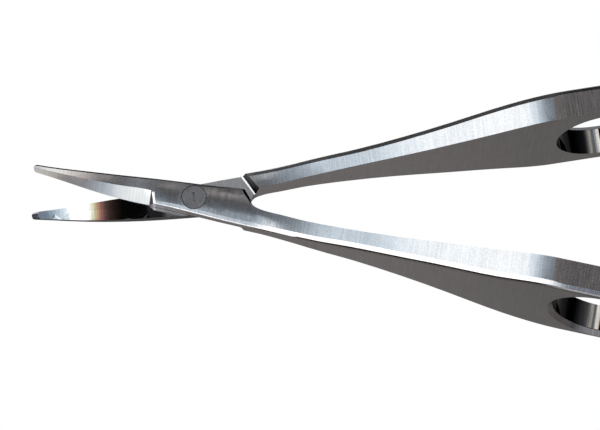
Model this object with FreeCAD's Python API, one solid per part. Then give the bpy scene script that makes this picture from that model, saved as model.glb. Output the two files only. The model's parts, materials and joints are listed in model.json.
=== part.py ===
import FreeCAD, Part
import math
import os
from FreeCAD import Vector

# Corneal scissors: two forged levers crossing at a screw, and two leaf springs riveted to them.
# All lengths are in millimetres. While a lever is shaped, the pivot axis is the Z axis, the blade
# points along -X, the handle along +X, the cutting plane is Z = 0, and the lever stands closed.

# Blade
BLADE_REACH = 11.62        # pivot axis to blade tip
TIP_RADIUS = 0.27          # rounding of the blunt tip, seen from above
TIP_SIDE = 0.13            # how far the tip's centre stands to the blade's back
TIP_SLANT = 14.0           # how far the blade's sides still close in at the tip, degrees
CURVE_START = 3.4          # distance from the pivot where the blade starts to curve up
CURVE_RADIUS = 36.0        # radius of that upward curve
EDGE_LAND = 0.04           # thickness left at the cutting edge
BEVEL_START = 3.1          # distance from the pivot to the notch that ends the ground bevel
BEVEL_RIDGE = 0.05         # how far the bevel's upper line stands to the cutting side at the notch
BEVEL_RIDGE_TIP = -0.12    # the same at the tip, where that line has crossed to the back
NOTCH_LEAN = 25.0          # lean of the wall that ends the bevel, degrees
SPINE_LOSS = 0.64          # share of the blade's thickness lost between notch and tip
SPINE_POWER = 0.9          # how evenly it is lost
BLADE_CROWN = 0.16         # drop of the blade's outer face, per square millimetre of offset
BLADE_ROUND = (0.2, 0.1)   # reach and drop of the eased edge of the blade's forged stock
BLADE_OVERRUN = 0.8        # how far stock and cutters are drawn beyond the tip
STOCK_OVER = 0.05          # how far that stock stands out beyond the cutting edge
BLADE_OUTLINE = (          # distance in front of the pivot, to the back, to the cutting edge
    (0.0, 1.08, 1.12),
    (3.1, 0.95, 0.89),
    (5.3, 0.85, 0.77),
    (6.9, 0.75, 0.62),
    (8.3, 0.64, 0.45),
    (10.0, 0.49, 0.25),
)

# Lap joint
LAP_HEIGHT = 0.83          # cutting plane to the crown of either lever at the pivot
SHEAR_GAP = 0.04           # air between the two levers at the cutting plane
CROWN = 0.13               # drop of the crowned faces, per square millimetre of offset
LAP_CORNER = (3.46, 1.27)  # outer corner of the lap's oblique end
LAP_BACK = (               # distance behind the pivot and offset of the side that carries the handle
    (-1.5, -1.03),
    (0.0, -1.15),
    (2.0, -1.32),
    (3.6, -1.43),
)
LAP_HEEL = (4.02, 0.52)    # where that oblique end turns into the inner edge
THROAT = (4.26, 0.08)      # inner edge between the lap's end and the handle
STEP_OUTER = (3.80, -1.20)  # line where the lap ends and the full height starts
STEP_INNER = (4.34, -0.24)
STEP_FILLET = 0.24         # hollow at the foot of that step
STEP_LEAN = 16.0           # lean of its wall, degrees
BREAK_WIDTH = 0.14         # width of the broken edge along the back and the lap's end
BREAK_ANGLE = 40.0         # its fall, degrees

# Screw
HEAD_DIAMETER = 1.76
HEAD_DEPTH = 0.34
SHANK_DIAMETER = 1.0
SCREW_CLEARANCE = 0.03     # radial, in the lever that turns on it
SCREW_SEAT = 0.005         # radial, in the lever that holds it
SLOT_LENGTH = 0.7
SLOT_WIDTH = 0.12
SLOT_DEPTH = 0.16

# Handle: distance behind the pivot, inner face, thickness, share of the full height reached
HANDLE_STATIONS = (
    (4.75, -0.12, 1.38, 0.0),
    (6.2, -0.30, 1.33, 0.01),
    (7.75, -0.48, 1.32, 0.035),
    (9.2, -0.61, 1.34, 0.074),
    (11.35, -0.76, 1.34, 0.155),
    (15.0, -0.94, 1.51, 0.32),
    (18.6, -1.09, 1.77, 0.535),
    (22.3, -1.28, 2.06, 0.777),
    (25.3, -1.42, 2.15, 0.972),
    (26.5, -1.48, 2.18, 1.0),
    (28.0, -1.55, 2.20, 1.0),
    (30.0, -1.65, 2.20, 1.0),
    (33.0, -1.78, 2.19, 1.0),
    (37.0, -1.87, 2.14, 1.0),
    (41.0, -1.77, 2.02, 1.0),
    (44.7, -1.49, 1.85, 1.0),
    (48.7, -1.05, 1.63, 1.0),
    (52.6, -0.52, 1.40, 1.0),
)
HANDLE_HEIGHT = 9.0        # across the level lands
LAND_ALLOWANCE = 0.02      # forged above the lands, then ground off flat
LEVEL_END = 41.0           # distance behind the pivot where the handle starts to get lower
HANDLE_END_HEIGHT = 6.4
EDGE_ROUND = 0.42          # rounding of the handle's outer edges
LAP_ROUND = (0.3, 0.16)    # reach and drop of the lap's rounded outer edges
EASING_TURNS = (46, 64, 90)  # directions of the facets that ease an outer edge, degrees
ROUND_CHANGE = 7.0         # length over which one rounding turns into the other
STOCK_MARGIN = 1.6         # how far the forged stock reaches over the inner outline at the lap
HANDLE_MARGIN = 0.5        # the same along the handle
MARGIN_SLOPE = 0.7         # loss of that margin per millimetre behind the lap

# Slot through each handle
WINDOW_RAIL = 0.9          # steel left above and below the slot
WINDOW_FRONT = 26.4
WINDOW_REAR = 45.2
WINDOW_CHAMFER = 0.36

# Leaf springs
LEAF_THICKNESS = 0.5
LEAF_SEAT_START = 46.6
LEAF_ROOT_HEIGHT = 5.6
LEAF_TAIL_HEIGHT = 4.4
LEAF_ROOT_RADIUS = 30.0    # bend of the leaf's middle line behind the handle, levers open
LEAF_TAIL_RADIUS = 24.0    # bend back in front of the tail
LEAF_BEND_START = 53.2
TAIL_FLAT_START = 85.5
TAIL_END = 91.0

# Rivets
RIVET_DIAMETER = 0.9
RIVET_HEAD_DIAMETER = 1.5
RIVET_HEAD_HEIGHT = 0.22
RIVET_SEAT = 0.01
RIVET_PLACES = (48.3, 51.0)
TAIL_RIVET_PLACE = 88.3
TAIL_RIVET_DIAMETER = 1.1
TAIL_RIVET_HEAD = 1.9

# Stance
OPEN_ANGLE = 8.2           # turn of each lever between closed and sprung open, degrees

# Worked out from the sizes above
PIVOT_X = BLADE_REACH - (BLADE_REACH + TAIL_END) / 2
FLOOR_Z = HANDLE_HEIGHT / 2
HANDLE_END = HANDLE_STATIONS[-1][0]
WINDOW_WIDTH = HANDLE_HEIGHT - 2 * WINDOW_RAIL
FAR = 30.0
UP = Vector(0, 0, 1)
ORIGIN = Vector(0, 0, 0)


def prism(wire, low, high):
    """Solid between two heights over a flat outline drawn at Z = 0."""
    face = Part.Face(wire)
    face.translate(Vector(0, 0, low))
    return face.extrude(Vector(0, 0, high - low))


def polygon(points):
    """Closed flat outline with straight sides at Z = 0."""
    corners = [Vector(x, y, 0) for x, y in points]
    return Part.makePolygon(corners + corners[:1])


def spline(points, start=None, end=None):
    """Smooth edge through the points, with the directions wanted at its ends."""
    curve = Part.BSplineCurve()
    if start is None:
        curve.interpolate(points)
    else:
        curve.interpolate(points, InitialTangent=start, FinalTangent=end)
    return curve.toShape()


def flipped(shape):
    """The same shape turned half round about the X axis."""
    turned = shape.copy()
    turned.rotate(ORIGIN, Vector(1, 0, 0), 180)
    return turned


def half_height(x, share):
    """Half height of the handle: taper from the lap, level lands, then an arc down to the end."""
    full = HANDLE_HEIGHT / 2
    if x <= LEVEL_END:
        return LAP_HEIGHT + (full - LAP_HEIGHT) * share
    drop = full - HANDLE_END_HEIGHT / 2
    run = HANDLE_END - LEVEL_END
    radius = (run ** 2 + drop ** 2) / (2 * drop)
    return full - radius + math.sqrt(radius ** 2 - (x - LEVEL_END) ** 2)


def between(rows, x):
    """Value at x on the broken line through (place, value) rows, carried on straight at its ends."""
    pairs = list(zip(rows, rows[1:]))
    first, second = next((pair for pair in pairs if x <= pair[1][0]), pairs[-1])
    share = (x - first[0]) / (second[0] - first[0])
    return first[1] + share * (second[1] - first[1])


def inner_offset(x):
    """Offset of the handle's inner face from the closed middle line."""
    return between([row[:2] for row in HANDLE_STATIONS], x)


def rise(distance):
    """Height of the curved cutting surface at a distance from the pivot."""
    run = max(0.0, distance - CURVE_START)
    return CURVE_RADIUS - math.sqrt(CURVE_RADIUS ** 2 - run ** 2)


def blade_thickness(distance):
    """Thickness of the blade's spine: full at the notch, thin at the tip."""
    share = max(0.0, min(1.0, (distance - BEVEL_START) / (BLADE_REACH - BEVEL_START)))
    return LAP_HEIGHT * (1.0 - SPINE_LOSS * share ** SPINE_POWER)


def blade_top(distance, side, curve_up):
    """Height of the blade's or the lap's outer face over the cutting plane."""
    crown = BLADE_CROWN if distance >= BEVEL_START else CROWN
    return blade_thickness(distance) + curve_up * rise(distance) - crown * side ** 2


def blade_stations():
    """Distances from the pivot at which the blade is drawn, from the notch to beyond the tip."""
    return [row[0] for row in BLADE_OUTLINE[1:]] + [BLADE_REACH, BLADE_REACH + BLADE_OVERRUN]


def back_side(distance):
    """Offset of the blade's back, and of the lap's edge behind the pivot."""
    rows = [(-LAP_CORNER[0], LAP_CORNER[1])] + [row[:2] for row in BLADE_OUTLINE]
    return between(rows + [(BLADE_REACH, TIP_SIDE + TIP_RADIUS)], distance)


def edge_side(distance):
    """Offset of the cutting edge."""
    rows = [(row[0], row[2]) for row in BLADE_OUTLINE[1:]]
    return between(rows + [(BLADE_REACH, TIP_RADIUS - TIP_SIDE)], distance)


def plan_wire():
    """Outline of a whole lever seen from above, blade, lap and handle in one."""
    back = [Vector(-x, side, 0) for x, side, _ in reversed(BLADE_OUTLINE)]
    back.append(Vector(LAP_CORNER[0], LAP_CORNER[1], 0))
    edge = [Vector(-x, -side, 0) for x, _, side in BLADE_OUTLINE]
    nose = Vector(-BLADE_REACH + TIP_RADIUS, TIP_SIDE, 0)
    slant = math.radians(TIP_SLANT)
    nose_back = nose + Vector(-math.sin(slant), math.cos(slant), 0) * TIP_RADIUS
    nose_edge = nose + Vector(-math.sin(slant), -math.cos(slant), 0) * TIP_RADIUS
    nose_front = nose - Vector(TIP_RADIUS, 0, 0)
    heel = Vector(LAP_HEEL[0], LAP_HEEL[1], 0)
    throat = Vector(THROAT[0], THROAT[1], 0)
    inner = [heel, throat] + [Vector(x, y, 0) for x, y, _, _ in HANDLE_STATIONS]
    outer_limit = -FAR
    notch = edge[1]
    return Part.Wire([
        Part.Arc(nose_edge, nose_front, nose_back).toShape(),
        spline([nose_back] + back),
        Part.LineSegment(back[-1], heel).toShape(),
        spline(inner),
        Part.LineSegment(inner[-1], Vector(inner[-1].x, outer_limit, 0)).toShape(),
        Part.LineSegment(Vector(inner[-1].x, outer_limit, 0), Vector(notch.x, outer_limit, 0)).toShape(),
        Part.LineSegment(Vector(notch.x, outer_limit, 0), notch).toShape(),
        spline(edge[1:] + [nose_edge]),
    ])


def section(x, inner, outer, top, bottom, crown, reach, drop):
    """Closed outline across the lever: flat inner side, crowned lands, outer edges eased in facets."""
    corner_y = outer + reach

    def land(height, sign):
        heights = (height - crown * inner ** 2, height - crown * inner * corner_y, height - crown * corner_y ** 2)
        offsets = (inner, (inner + corner_y) / 2, corner_y)
        return [Vector(x, y, sign * z) for y, z in zip(offsets, heights)]

    def easing(corner, sign):
        lean = -2 * crown * corner_y
        points = [corner]
        for turn in EASING_TURNS:
            run = reach * math.sin(math.radians(turn))
            fall = (drop - lean * reach) * (1 - math.cos(math.radians(turn)))
            points.append(corner - Vector(0, run, sign * (lean * run + fall)))
        return points

    def line(points):
        curve = Part.BezierCurve()
        curve.setPoles(points)
        return curve.toShape()

    upper_land = land(top, 1)
    lower_land = land(bottom, -1)
    outside = easing(upper_land[-1], 1) + list(reversed(easing(lower_land[-1], -1)))
    edges = [line(upper_land)]
    edges += [line(list(ends)) for ends in zip(outside, outside[1:])]
    edges += [line(list(reversed(lower_land))), line([lower_land[0], upper_land[0]])]
    return Part.Wire(edges)


def lever_stock(curve_up):
    """Forged stock of one lever, wider than its inner outline, with its lands and rounded edges."""
    sections = []
    for distance in reversed(blade_stations()):
        side = edge_side(distance) + STOCK_OVER
        top = blade_thickness(distance) + curve_up * rise(distance)
        sections.append(section(-distance, STOCK_MARGIN, -side, top, LAP_HEIGHT, BLADE_CROWN, *BLADE_ROUND))
    for x, outer in LAP_BACK:
        sections.append(section(x, STOCK_MARGIN, outer, LAP_HEIGHT, LAP_HEIGHT, CROWN, *LAP_ROUND))
    start = HANDLE_STATIONS[0][0]
    for x, inner, thickness, share in HANDLE_STATIONS:
        blend = min(1.0, max(0.0, (x - start) / ROUND_CHANGE))
        reach = LAP_ROUND[0] + blend * (EDGE_ROUND - LAP_ROUND[0])
        drop = LAP_ROUND[1] + blend * (EDGE_ROUND - LAP_ROUND[1])
        crown = CROWN * (1 - blend) ** 2
        half = half_height(x, share) + LAND_ALLOWANCE * share
        wide = max(HANDLE_MARGIN + inner, STOCK_MARGIN - MARGIN_SLOPE * (x - start))
        sections.append(section(x, wide, inner - thickness, half, half, crown, reach, drop))
    stock = Part.makeLoft(sections, True, False)
    level = Part.makeBox(2 * FAR + HANDLE_END, 2 * FAR, HANDLE_HEIGHT, Vector(-FAR, -FAR, -HANDLE_HEIGHT / 2))
    return stock.common(level)


def blade_cutter(curve_up):
    """Body under the cutting surface along the blade, turned about the pivot axis."""
    reach = BLADE_REACH + BLADE_OVERRUN
    floor = SHEAR_GAP / 2

    def on_surface(radius):
        return Vector(0, -radius, floor + curve_up * rise(radius))

    inner_foot = Vector(0, 0, -FAR)
    outer_foot = Vector(0, -reach, -FAR)
    wire = Part.Wire([
        Part.LineSegment(on_surface(0), on_surface(CURVE_START)).toShape(),
        Part.Arc(on_surface(CURVE_START), on_surface((CURVE_START + reach) / 2), on_surface(reach)).toShape(),
        Part.LineSegment(on_surface(reach), outer_foot).toShape(),
        Part.LineSegment(outer_foot, inner_foot).toShape(),
        Part.LineSegment(inner_foot, on_surface(0)).toShape(),
    ])
    return Part.Face(wire).revolve(ORIGIN, UP, -180)


def step_cutter():
    """Body that clears the other lever's half behind the pivot, with a rounded corner at the step."""
    floor = SHEAR_GAP / 2
    outer = Vector(STEP_OUTER[0], STEP_OUTER[1], 0)
    along = (Vector(STEP_INNER[0], STEP_INNER[1], 0) - outer).normalize()
    ahead = Vector(-along.y, along.x, 0)
    corner = outer - along * FAR / 2

    def at(forward, z):
        return corner + ahead * forward + Vector(0, 0, z)

    lean = math.radians(STEP_LEAN)
    wall = Vector(-math.cos(lean), 0, math.sin(lean))
    centre = STEP_FILLET * (1 - math.sin(lean)) / math.cos(lean)
    middle = (wall + UP).normalize()

    def on_fillet(direction):
        return at(centre + STEP_FILLET * direction.x, floor + STEP_FILLET * (direction.z - 1))

    depth = floor - FAR
    wire = Part.Wire([
        Part.LineSegment(at(depth * math.tan(lean), depth), on_fillet(wall)).toShape(),
        Part.Arc(on_fillet(wall), on_fillet(middle), on_fillet(UP)).toShape(),
        Part.LineSegment(on_fillet(UP), at(FAR, floor)).toShape(),
        Part.LineSegment(at(FAR, floor), at(FAR, depth)).toShape(),
        Part.LineSegment(at(FAR, depth), at(depth * math.tan(lean), depth)).toShape(),
    ])
    block = Part.Face(wire).extrude(along * FAR)
    behind = Part.makeBox(FAR, 2 * FAR, 2 * FAR, Vector(0, -FAR, -FAR))
    return block.common(behind)


def bevel_cutter(curve_up):
    """Body that grinds the blade's outer face down to its cutting edge, with a leaning front."""
    over = (BLADE_OUTLINE[1][2] - BEVEL_RIDGE) / 2
    lean = math.tan(math.radians(NOTCH_LEAN))
    ridges = [(BEVEL_START, BEVEL_RIDGE), (BLADE_REACH, BEVEL_RIDGE_TIP)]
    wires = []
    for distance in blade_stations():
        foot = edge_side(distance)
        ridge = between(ridges, distance)
        low = curve_up * rise(distance) + EDGE_LAND
        high = blade_top(distance, ridge, curve_up)
        slope = (high - low) / (foot - ridge)
        outer = Vector(-distance, -foot - over, low - slope * over)
        inner = Vector(-distance, -ridge + over, high + slope * over)
        ceiling = inner.z + HEAD_DIAMETER
        front = lean if distance == BEVEL_START else 0
        wires.append(Part.makePolygon([
            outer,
            inner,
            Vector(-distance + front * (ceiling - inner.z), inner.y, ceiling),
            Vector(-distance + front * (ceiling - outer.z), outer.y, ceiling),
            outer,
        ]))
    return Part.makeLoft(wires, True, False)


def break_section(corner, outward):
    """Closed outline above a broken edge: corner is on the outer face where the fall starts."""
    fall = math.tan(math.radians(BREAK_ANGLE))
    inside = corner - (outward + Vector(0, 0, -fall)) * BREAK_WIDTH
    outside = corner + (outward + Vector(0, 0, -fall)) * 2 * BREAK_WIDTH
    rise_over = Vector(0, 0, HEAD_DIAMETER)
    return Part.makePolygon([inside, outside, outside + rise_over, inside + rise_over, inside])


def back_cutter(curve_up):
    """Body that breaks the outer edge along the blade's back and the lap."""
    wires = []
    for distance in [-LAP_CORNER[0] - BREAK_WIDTH, -LAP_CORNER[0] / 2, 0.0] + blade_stations():
        side = back_side(distance) - BREAK_WIDTH
        corner = Vector(-distance, side, blade_top(distance, side, curve_up))
        wires.append(break_section(corner, Vector(0, 1, 0)))
    return Part.makeLoft(wires, True, False)


def end_cutter():
    """Body that breaks the outer edge along the lap's oblique end."""
    corner = Vector(LAP_CORNER[0], LAP_CORNER[1], 0)
    heel = Vector(LAP_HEEL[0], LAP_HEEL[1], 0)
    along = (heel - corner).normalize()
    outward = Vector(-along.y, along.x, 0)
    wires = []
    for place in (corner - along * BREAK_WIDTH, heel + along * 2 * BREAK_WIDTH):
        start = place - outward * BREAK_WIDTH
        start.z = blade_top(-place.x, place.y, 0)
        wires.append(break_section(start, outward))
    return Part.makeLoft(wires, True, True)


def window_cutter():
    """Long slot with round ends through the handle."""
    radius = WINDOW_WIDTH / 2
    front = WINDOW_FRONT + radius
    rear = WINDOW_REAR - radius

    def at(x, z):
        return Vector(x, 0, z)

    wire = Part.Wire([
        Part.LineSegment(at(front, radius), at(rear, radius)).toShape(),
        Part.Arc(at(rear, radius), at(rear + radius, 0), at(rear, -radius)).toShape(),
        Part.LineSegment(at(rear, -radius), at(front, -radius)).toShape(),
        Part.Arc(at(front, -radius), at(front - radius, 0), at(front, radius)).toShape(),
    ])
    face = Part.Face(wire)
    face.translate(Vector(0, -FAR / 2, 0))
    return face.extrude(Vector(0, FAR, 0))


def opened(shape, side):
    """Turns a lever out of its closed stance; side is +1 for the handle at +Y."""
    turned = shape.copy()
    turned.rotate(ORIGIN, UP, side * OPEN_ANGLE)
    return turned


def leaf_plan_offset():
    """Offset of the leaf's middle line along its seat in the open stance."""
    middle = (LEAF_SEAT_START + HANDLE_END) / 2
    closed_inner = inner_offset(middle)
    angle = math.radians(OPEN_ANGLE)
    open_inner = math.sin(angle) * middle - math.cos(angle) * closed_inner
    return open_inner + LEAF_THICKNESS / 2


def leaf_line(offset):
    """Edges of a line beside the leaf's middle: seat, bend, straight, bend back, tail."""
    start = Vector(LEAF_BEND_START, leaf_plan_offset(), 0)
    end = Vector(TAIL_FLAT_START, LEAF_THICKNESS / 2, 0)
    run = end.x - start.x
    radii = LEAF_ROOT_RADIUS + LEAF_TAIL_RADIUS
    left = radii - (start.y - end.y)
    straight = math.sqrt(run ** 2 + left ** 2 - radii ** 2)
    turn = math.atan2(run, left) - math.atan2(straight, radii)
    root_centre = start - Vector(0, LEAF_ROOT_RADIUS, 0)
    tail_centre = end + Vector(0, LEAF_TAIL_RADIUS, 0)

    def on_root(share):
        return root_centre + Vector(math.sin(turn * share), math.cos(turn * share), 0) * (LEAF_ROOT_RADIUS + offset)

    def on_tail(share):
        return tail_centre - Vector(math.sin(turn * share), math.cos(turn * share), 0) * (LEAF_TAIL_RADIUS - offset)

    return [
        Part.LineSegment(Vector(LEAF_SEAT_START, start.y + offset, 0), on_root(0)).toShape(),
        Part.Arc(on_root(0), on_root(0.5), on_root(1)).toShape(),
        Part.LineSegment(on_root(1), on_tail(1)).toShape(),
        Part.Arc(on_tail(1), on_tail(0.5), on_tail(0)).toShape(),
        Part.LineSegment(on_tail(0), Vector(TAIL_END, end.y + offset, 0)).toShape(),
    ]


def leaf_body():
    """One leaf spring for the handle at +Y, seated flat, bowed inwards, flat again at the tail."""
    start = LEAF_SEAT_START
    half = LEAF_THICKNESS / 2
    outside = leaf_line(half)
    inside = leaf_line(-half)
    root_end = Part.LineSegment(outside[0].Vertexes[0].Point, inside[0].Vertexes[0].Point).toShape()
    tail_end = Part.LineSegment(outside[-1].Vertexes[-1].Point, inside[-1].Vertexes[-1].Point).toShape()
    wire = Part.Wire(Part.__sortEdges__(outside + [tail_end] + inside + [root_end]))
    body = prism(wire, -FAR, FAR)
    root = LEAF_ROOT_HEIGHT / 2
    thin = LEAF_TAIL_HEIGHT / 2

    def at(x, z):
        return Vector(x, 0, z)

    outline = Part.Wire([
        Part.LineSegment(at(start, root), at(HANDLE_END, root)).toShape(),
        Part.LineSegment(at(HANDLE_END, root), at(TAIL_END - thin, thin)).toShape(),
        Part.Arc(at(TAIL_END - thin, thin), at(TAIL_END, 0), at(TAIL_END - thin, -thin)).toShape(),
        Part.LineSegment(at(TAIL_END - thin, -thin), at(HANDLE_END, -root)).toShape(),
        Part.LineSegment(at(HANDLE_END, -root), at(start, -root)).toShape(),
        Part.LineSegment(at(start, -root), at(start, root)).toShape(),
    ])
    side = Part.Face(outline)
    side.translate(Vector(0, -FAR / 2, 0))
    return body.common(side.extrude(Vector(0, FAR, 0)))


def seat_cutter():
    """Rebate across the inner face of the handle at +Y, in which the leaf lies."""
    seat = leaf_plan_offset()
    floor = seat + LEAF_THICKNESS / 2
    outline = polygon([
        (LEAF_SEAT_START, floor), (HANDLE_END + FAR, floor),
        (HANDLE_END + FAR, floor - HANDLE_HEIGHT), (LEAF_SEAT_START, floor - HANDLE_HEIGHT),
    ])
    return prism(outline, -FAR, FAR)


def cross_hole(x, radius):
    """Round bar across both handles, for rivet holes."""
    return Part.makeCylinder(radius, FAR, Vector(x, -FAR / 2, 0), Vector(0, 1, 0))


def domed_head(centre, direction, radius, height):
    """Low domed rivet head standing on a flat face."""
    ball = (radius ** 2 + height ** 2) / (2 * height)
    top = centre + direction * height
    sphere = Part.makeSphere(ball, top - direction * ball)
    block = Part.makeCylinder(radius, 2 * height, centre, direction)
    return sphere.common(block)


def window_rim(body):
    """Edges where the handle's slot meets the outer face."""
    middle_x = (WINDOW_FRONT + WINDOW_REAR) / 2
    radius = WINDOW_WIDTH / 2
    straight = (WINDOW_REAR - WINDOW_FRONT) / 2 - radius
    found = []
    for edge in body.Edges:
        points = edge.discretize(5)
        on_wall = True
        for point in points:
            over = max(0.0, abs(point.x - middle_x) - straight)
            on_wall = on_wall and abs(math.hypot(over, point.z) - radius) < 0.01
        inside = inner_offset(sum(point.x for point in points) / len(points))
        if on_wall and max(point.y for point in points) < inside - WINDOW_CHAMFER:
            found.append(edge)
    return found


def lever(upper):
    """One lever in its closed stance, with its handle at -Y and the cutting plane's side picked."""
    curve_up = 1 if upper else -1
    body = lever_stock(curve_up).common(prism(plan_wire(), -FAR, FAR))
    body = body.cut(bevel_cutter(curve_up)).cut(back_cutter(curve_up)).cut(end_cutter())
    body = body.cut(blade_cutter(curve_up)).cut(step_cutter())
    body = body.cut(window_cutter())
    return body.makeChamfer(WINDOW_CHAMFER, window_rim(body))


def levers():
    """Both levers in the open stance, with their leaf seats cut; the upper lever's handle is at -Y."""
    seat = seat_cutter()
    upper = opened(lever(True), -1).cut(flipped(seat))
    lower = opened(flipped(lever(False)), 1).cut(seat)
    return upper, lower


def screw():
    """Slotted screw, flush with the crowned lap above and below."""
    stock = lever_stock(1).common(Part.makeCylinder(HEAD_DIAMETER, FAR, Vector(0, 0, -FAR / 2)))
    base = LAP_HEIGHT - HEAD_DEPTH
    head = Part.makeCylinder(HEAD_DIAMETER / 2, HEAD_DEPTH + 1, Vector(0, 0, base))
    shank = Part.makeCylinder(SHANK_DIAMETER / 2, base + LAP_HEIGHT + 1, Vector(0, 0, -LAP_HEIGHT - 1))
    body = head.fuse(shank).common(stock).removeSplitter()
    slot = Part.makeBox(SLOT_WIDTH, SLOT_LENGTH, 1, Vector(-SLOT_WIDTH / 2, -SLOT_LENGTH / 2, 0))
    slot.translate(Vector(0, 0, LAP_HEIGHT - SLOT_DEPTH))
    return opened(body.cut(slot), 1)


def rivets(handle):
    """Two rivets at +Y through leaf and handle, domed inside and filed flush outside."""
    inside = leaf_plan_offset() - LEAF_THICKNESS / 2
    solids = []
    for x in RIVET_PLACES:
        foot = Vector(x, inside, 0)
        bar = Part.makeCylinder(RIVET_DIAMETER / 2, FAR, foot, Vector(0, 1, 0))
        in_leaf = Part.makeCylinder(RIVET_DIAMETER / 2, LEAF_THICKNESS, foot, Vector(0, 1, 0))
        head = domed_head(foot, Vector(0, -1, 0), RIVET_HEAD_DIAMETER / 2, RIVET_HEAD_HEIGHT)
        solids.append(bar.common(handle).fuse([in_leaf, head]).removeSplitter())
    return Part.makeCompound([solid.Solids[0] for solid in solids])


def tail_rivet():
    """Rivet that joins the flat tails of the two leaves."""
    radius = TAIL_RIVET_DIAMETER / 2
    reach = LEAF_THICKNESS
    body = Part.makeCylinder(radius, 2 * reach, Vector(TAIL_RIVET_PLACE, -reach, 0), Vector(0, 1, 0))
    for side in (1, -1):
        foot = Vector(TAIL_RIVET_PLACE, side * reach, 0)
        body = body.fuse(domed_head(foot, Vector(0, side, 0), TAIL_RIVET_HEAD / 2, RIVET_HEAD_HEIGHT))
    return body.removeSplitter()


def drilled(shape):
    """The shape with the rivet holes of handle and tail bored through it."""
    for x in RIVET_PLACES:
        shape = shape.cut(cross_hole(x, RIVET_DIAMETER / 2 + RIVET_SEAT))
    return shape.cut(cross_hole(TAIL_RIVET_PLACE, TAIL_RIVET_DIAMETER / 2 + RIVET_SEAT))


def bored(shape, clearance, with_head):
    """The lever's lap with the screw's hole, and the pocket of its head where it has one."""
    hole = Part.makeCylinder(SHANK_DIAMETER / 2 + clearance, FAR, Vector(0, 0, -FAR / 2))
    if with_head:
        base = Vector(0, 0, LAP_HEIGHT - HEAD_DEPTH)
        hole = hole.fuse(Part.makeCylinder(HEAD_DIAMETER / 2 + clearance, FAR / 2, base))
    return shape.cut(hole)


def export(name, shape):
    """Writes one sub-part and prints what it holds."""
    moved = shape.copy()
    moved.translate(Vector(PIVOT_X, 0, FLOOR_Z))
    moved.exportStep(f"parts/{name}.step")
    print(name, len(moved.Solids), "solids, valid", moved.isValid(), "volume", round(moved.Volume, 3))


def main():
    """Builds every piece and writes it."""
    os.makedirs("parts", exist_ok=True)
    upper, lower = levers()
    handle_rivets = rivets(lower)
    leaf = drilled(leaf_body())
    export("upper_lever", drilled(bored(upper, SCREW_CLEARANCE, True)))
    export("lower_lever", drilled(bored(lower, SCREW_SEAT, False)))
    export("pivot_screw", screw())
    export("upper_lever_spring", flipped(leaf))
    export("lower_lever_spring", leaf)
    export("upper_lever_rivets", flipped(handle_rivets))
    export("lower_lever_rivets", handle_rivets)
    export("tail_rivet", tail_rivet())


main()
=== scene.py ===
"""Corneal scissors: finishes, leaf springs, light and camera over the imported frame."""
import json
import logging
import math
from dataclasses import dataclass, field
from enum import Enum

import bpy
from mathutils import Matrix, Vector


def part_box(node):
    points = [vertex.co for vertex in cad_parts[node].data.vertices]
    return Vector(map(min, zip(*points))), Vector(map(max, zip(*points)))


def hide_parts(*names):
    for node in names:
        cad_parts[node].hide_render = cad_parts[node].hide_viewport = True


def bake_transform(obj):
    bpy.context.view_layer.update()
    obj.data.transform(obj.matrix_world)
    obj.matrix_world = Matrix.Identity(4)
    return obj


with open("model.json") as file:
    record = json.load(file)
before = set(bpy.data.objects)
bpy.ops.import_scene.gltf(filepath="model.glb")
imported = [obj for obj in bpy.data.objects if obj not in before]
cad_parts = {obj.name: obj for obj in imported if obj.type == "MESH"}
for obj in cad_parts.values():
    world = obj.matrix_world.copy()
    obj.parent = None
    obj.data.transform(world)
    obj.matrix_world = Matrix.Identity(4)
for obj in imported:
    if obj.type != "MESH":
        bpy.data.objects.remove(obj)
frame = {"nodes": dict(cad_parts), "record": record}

LOG = logging.getLogger("corneal_scissors")

Tree = bpy.types.NodeTree
Node = bpy.types.Node
Socket = bpy.types.NodeSocket
Material = bpy.types.Material

MM = 0.001
WHITE = "#ffffff"
PIVOT = Vector(frame["record"]["behaviour"]["joints"][0]["pos_m"])    # on the screw's axis, at half height
OPEN_TURN = math.radians(8.2)           # turn of each lever between closed and sprung open
NOISE_LOW, NOISE_HIGH = 0.3, 0.7        # limits between which nearly all of a noise texture lies


class Side(Enum):
    """The two halves of the instrument, named after their place at the joint."""

    UPPER = "upper_lever"
    LOWER = "lower_lever"

    @property
    def sign(self) -> float:
        """Side of the middle line on which the half's handle and leaf lie."""
        return -1.0 if self is Side.UPPER else 1.0


def linear(colour: str) -> tuple[float, float, float, float]:
    """Turns an sRGB hex colour to linear values.

    Args:
        colour: Six hex digits after a hash sign.

    Returns:
        Red, green, blue and an alpha of one.
    """
    parts = [int(colour[start:start + 2], 16) / 255 for start in (1, 3, 5)]
    values = [part / 12.92 if part <= 0.04045 else ((part + 0.055) / 1.055) ** 2.4 for part in parts]
    return values[0], values[1], values[2], 1.0


def add(tree: Tree, kind: str, inputs: dict | None = None, **settings: object) -> Node:
    """Adds a node with its settings, values and links.

    Args:
        tree: The node tree that gets the node.
        kind: Blender's name of the node type.
        inputs: Values or output sockets by input name or number.
        **settings: Properties of the node itself.

    Returns:
        The new node.
    """
    node = tree.nodes.new(kind)
    for name, value in settings.items():
        setattr(node, name, value)
    for key, value in (inputs or {}).items():
        if isinstance(value, Socket):
            tree.links.new(value, node.inputs[key])
        else:
            node.inputs[key].default_value = value
    return node


def new_material(name: str) -> tuple[Material, Tree]:
    """Makes an empty node material.

    Args:
        name: Name of the finish.

    Returns:
        The material and its node tree.
    """
    material = bpy.data.materials.new(name)
    material.use_nodes = True
    material.node_tree.nodes.clear()
    return material, material.node_tree


def put_material(piece: bpy.types.Object, material: Material) -> None:
    """Assigns a finish to every material slot of a piece."""
    for slot in piece.material_slots:
        slot.material = material


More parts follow.
